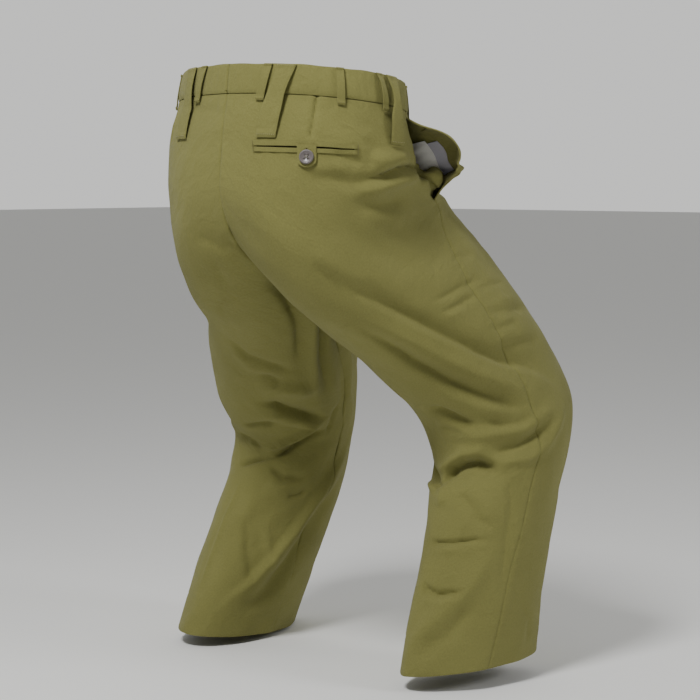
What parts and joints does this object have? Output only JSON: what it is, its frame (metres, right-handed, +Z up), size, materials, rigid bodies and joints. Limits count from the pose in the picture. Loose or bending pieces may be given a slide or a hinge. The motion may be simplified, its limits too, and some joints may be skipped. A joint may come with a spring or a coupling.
{
  "type": "dress trousers",
  "caption": "Hollow dress trousers in a bent-knee pose with belt loops, a buttoned back pocket and a gaping side pocket.",
  "frame": {"origin": "centre of the waistband, at the middle of its height on the garment's centre line", "axes": "+Z up along the garment towards the waist; the front faces -Y; the wearer's right is -X"},
  "size_m": [0.5784, 0.4689, 0.8333],
  "materials": {
    "cloth": "fine olive twill, matte with a slight sheen",
    "pocketing": "plain off-white pocketing",
    "button": "grey-brown four-hole button"
  },
  "bodies": {
    "root": {"front_right": "cloth", "front_left": "cloth", "back_right": "cloth", "back_left": "cloth", "waistband_right": "cloth", "waistband_left": "cloth", "side_panel_right": "cloth", "side_panel_left": "cloth", "pocket_facing_right": "cloth", "pocket_facing_left": "cloth", "pocket_lining_right": "pocketing", "back_pocket_welt_upper": "cloth", "back_pocket_welt_lower": "cloth", "back_pocket_tab": "cloth", "back_pocket_button": "button", "fly_lap": "cloth", "waist_button": "button", "belt_loop_right_1": "cloth", "belt_loop_right_2": "cloth", "belt_loop_right_3": "cloth", "belt_loop_right_4": "cloth", "belt_loop_right_5": "cloth", "belt_loop_right_6": "cloth", "belt_loop_left_1": "cloth", "belt_loop_left_2": "cloth", "belt_loop_left_3": "cloth", "belt_loop_left_4": "cloth", "belt_loop_left_5": "cloth", "belt_loop_left_6": "cloth"}
  },
  "joints": []
}
